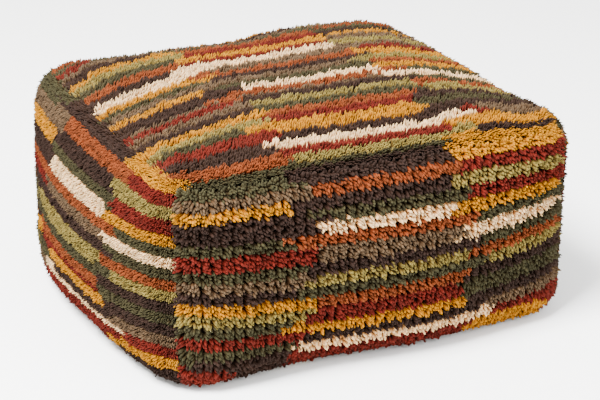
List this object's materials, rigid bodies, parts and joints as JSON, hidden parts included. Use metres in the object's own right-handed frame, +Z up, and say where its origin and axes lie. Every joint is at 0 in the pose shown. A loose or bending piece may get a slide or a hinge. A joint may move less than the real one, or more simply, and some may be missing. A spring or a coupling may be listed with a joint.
{
  "type": "floor pouf",
  "caption": "Low square floor pouf with a broken-stripe cover of cut wool pile, foam and wadding filling in a cotton liner, and a canvas base closed by a zip.",
  "frame": {"origin": "on the floor under the middle of the base", "axes": "+Z up, +X to the right along the longer side, the front faces -Y"},
  "size_m": [0.6378, 0.5834, 0.286],
  "materials": {
    "wool_pile": "cut wool pile in dyed stripes",
    "ground_cloth": "undyed plain weave",
    "twill_tape": "cotton twill",
    "base_canvas": "plain-weave canvas",
    "zip_tape": "woven polyester",
    "zip_teeth": "moulded",
    "zip_metal": "antique",
    "cotton_liner": "unbleached plain weave",
    "wadding": "bonded fibre",
    "soft_foam": "open-cell foam",
    "firm_foam": "open-cell foam"
  },
  "bodies": {
    "pouf": {"top_pile": "wool_pile", "front_pile": "wool_pile", "right_pile": "wool_pile", "back_pile": "wool_pile", "left_pile": "wool_pile", "top_ground_cloth": "ground_cloth", "front_ground_cloth": "ground_cloth", "right_ground_cloth": "ground_cloth", "back_ground_cloth": "ground_cloth", "left_ground_cloth": "ground_cloth", "front_top_seam_tape": "twill_tape", "front_base_seam_tape": "twill_tape", "right_top_seam_tape": "twill_tape", "right_base_seam_tape": "twill_tape", "back_top_seam_tape": "twill_tape", "back_base_seam_tape": "twill_tape", "left_top_seam_tape": "twill_tape", "left_base_seam_tape": "twill_tape", "front_right_seam_tape": "twill_tape", "right_back_seam_tape": "twill_tape", "back_left_seam_tape": "twill_tape", "left_front_seam_tape": "twill_tape", "base_canvas_front": "base_canvas", "base_canvas_back": "base_canvas", "zip_tape_front": "zip_tape", "zip_tape_back": "zip_tape", "zip_teeth_front": "zip_teeth", "zip_teeth_back": "zip_teeth", "zip_top_stop_front": "zip_metal", "zip_top_stop_back": "zip_metal", "zip_bottom_stop": "zip_metal", "liner_top": "cotton_liner", "liner_band": "cotton_liner", "liner_base": "cotton_liner", "wadding_top": "wadding", "wadding_wrap": "wadding", "foam_top": "soft_foam", "foam_base": "firm_foam"},
    "slider": {"zip_slider": "zip_metal"},
    "pull": {"zip_pull": "zip_metal"}
  },
  "joints": [
    {"name": "zip_slide", "type": "slide", "parent": "pouf", "child": "slider", "axis": [-1, 0, 0], "range_m": [0, 0.349], "deforming": ["zip_teeth_front", "zip_teeth_back"]},
    {"name": "pull_swing", "type": "hinge", "parent": "slider", "child": "pull", "pos_m": [0.177, 0, 0.00475], "axis": [0, -1, 0], "range_deg": [-8, 163]}
  ]
}
